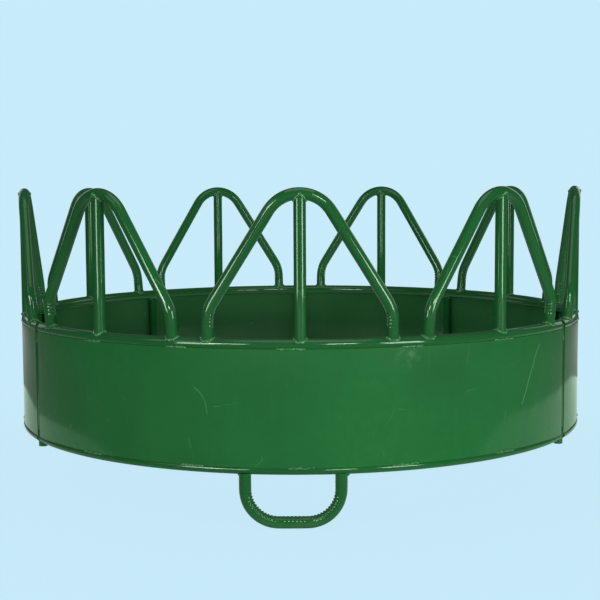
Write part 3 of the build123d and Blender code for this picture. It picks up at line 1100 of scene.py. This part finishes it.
# Stage
def floor_material():
    """Dull floor that glows softly in the camera's view and turns into the backdrop further off."""
    material = bpy.data.materials.new("studio_floor")
    material.use_nodes = True
    graph = Graph(material.node_tree)
    where = graph.add("TexCoord").outputs["Object"]
    seen = graph.add("LightPath").outputs["Is Camera Ray"]

    moved = graph.vector_math("SUBTRACT", where, MAT_MIDDLE)["Vector"]
    spread = graph.stretch(moved, (1 / MAT_REACH[0], 1 / MAT_REACH[1], 0))
    square = graph.vector_math("MULTIPLY", spread, spread)["Vector"]
    rounded = graph.vector_math("DOT_PRODUCT", square, square)["Value"]
    off_mat = graph.range(rounded, 1.0, 1.0 + MAT_EDGE)
    bounce = graph.mix(off_mat, (*MAT_BOUNCE, 1), (*FLOOR_BOUNCE, 1))
    colour = graph.mix(seen, bounce, (*FLOOR_COLOUR, 1))

    reach = graph.vector_math("LENGTH", where)["Value"]
    fade = graph.range(reach, FLOOR_NEAR, FLOOR_FAR, FLOOR_GLOW, 1.0)
    glowing = graph.math("MULTIPLY", fade, seen)
    dull = graph.add("BsdfDiffuse", {"Color": colour}).outputs[0]
    glow = graph.add("Emission", {"Color": (*BACKDROP, 1), "Strength": 1.0}).outputs[0]
    shader = graph.add("MixShader", {0: glowing, 1: dull, 2: glow})
    graph.add("OutputMaterial", {"Surface": shader.outputs[0]})
    return material


def make_floor():
    """Pale studio floor."""
    mesh = bpy.data.meshes.new("studio_floor")
    shell = bmesh.new()
    bmesh.ops.create_circle(shell, cap_ends=True, radius=FLOOR_RADIUS, segments=96)
    shell.to_mesh(mesh)
    shell.free()
    floor = bpy.data.objects.new("studio_floor", mesh)
    bpy.context.scene.collection.objects.link(floor)
    mesh.materials.append(floor_material())


def make_world():
    """Plain pale backdrop, which lights the object softly and shows faintly in its reflections."""
    world = bpy.data.worlds.new("studio")
    bpy.context.scene.world = world
    world.use_nodes = True
    graph = Graph(world.node_tree)
    rays = graph.add("LightPath").outputs
    strength = graph.range(rays["Is Diffuse Ray"], 0.0, 1.0, WORLD_GLOSSY, WORLD_DULL)
    soft = graph.add("Background", {"Color": (*WORLD_LIGHT, 1), "Strength": strength})
    seen = graph.add("Background", {"Color": (*BACKDROP, 1), "Strength": 1.0})
    inputs = {0: rays["Is Camera Ray"], 1: soft.outputs[0], 2: seen.outputs[0]}
    both = graph.add("MixShader", inputs)
    graph.add("OutputWorld", {"Surface": both.outputs[0]})


def make_light(name, azimuth, distance, height, size, power, diffuse=True, glossy=True):
    """Soft rectangular light, which may light only dull or only glossy surfaces."""
    data = bpy.data.lights.new(name, "AREA")
    data.shape = "RECTANGLE"
    data.size, data.size_y = size
    data.energy = power
    if not diffuse:
        data.color = STREAK_LIGHT
    light = bpy.data.objects.new(name, data)
    light.location = outward(0) * RING + outward(azimuth) * distance + upward(height)
    aim = Vector((0, -RING, AIM_HEIGHT)) - light.location
    light.rotation_euler = aim.to_track_quat("-Z", "Y").to_euler()
    light.visible_camera = False
    light.visible_diffuse = diffuse
    light.visible_glossy = glossy
    bpy.context.scene.collection.objects.link(light)


def make_camera():
    """Camera in front of the object, at about the height of the loops' tops."""
    data = bpy.data.cameras.new("camera")
    data.lens = CAMERA_LENS
    camera = bpy.data.objects.new("camera", data)
    place = Matrix.Translation((0, -CAMERA_DISTANCE, CAMERA_HEIGHT))
    tip = Matrix.Rotation(math.radians(90 - CAMERA_PITCH), 4, "X")
    roll = Matrix.Rotation(math.radians(-CAMERA_ROLL), 4, "Z")
    camera.matrix_world = place @ tip @ roll
    bpy.context.scene.collection.objects.link(camera)
    bpy.context.scene.camera = camera


paints = {
    # The sheet's inward faces get the grey layer, partly dust and partly painted haze
    "sheet": enamel("sheet_enamel", SHEET_DEEP, SHEET_FULL, 0.06, peel=0.00006, sag=0.0006, dust_and_painted_haze=0.06),
    "tube": enamel("tube_enamel", TUBE_DEEP, TUBE_FULL, 0.06, peel=0.00006, sag=0.0003),
    "fitting": enamel("fitting_enamel", TUBE_DEEP, TUBE_FULL, 0.16, peel=0.00012, sag=0.0003),
    # Welds get a paler green than the tubes, and pale flecks: painted glints standing in for
    # catch-lights
    "weld": enamel("weld_enamel_with_painted_glints", TUBE_FULL, SHEET_FULL, 0.12, peel=0.00012, sag=0.0003, painted_glints=0.42),
}
for section, azimuth in SECTIONS.items():
    make_section(section, azimuth, paints)
    for kind in ("upper", "lower", "middle"):
        sleeve = f"{section}_{kind}_sleeve"
        if sleeve in nodes:
            make_sleeve(sleeve, f"{section}_section", paints["fitting"])
    sleeve_welds(section, azimuth, paints["weld"])
    make_pin(PINS[section], paints["fitting"])

# The end bars and the rear saddle keep their CAD shapes.
for kept in nodes.values():
    if not kept.hide_render:
        kept.data.materials.clear()
        kept.data.materials.append(paints["fitting"])

make_floor()
make_world()
for name, light in STREAKS.items():
    make_light(name, *light, diffuse=False)
for name, light in SOFTBOXES.items():
    make_light(name, *light)
for name, light in FILLS.items():
    make_light(name, *light, glossy=False)
make_camera()
bpy.context.scene.view_settings.view_transform = "Standard"
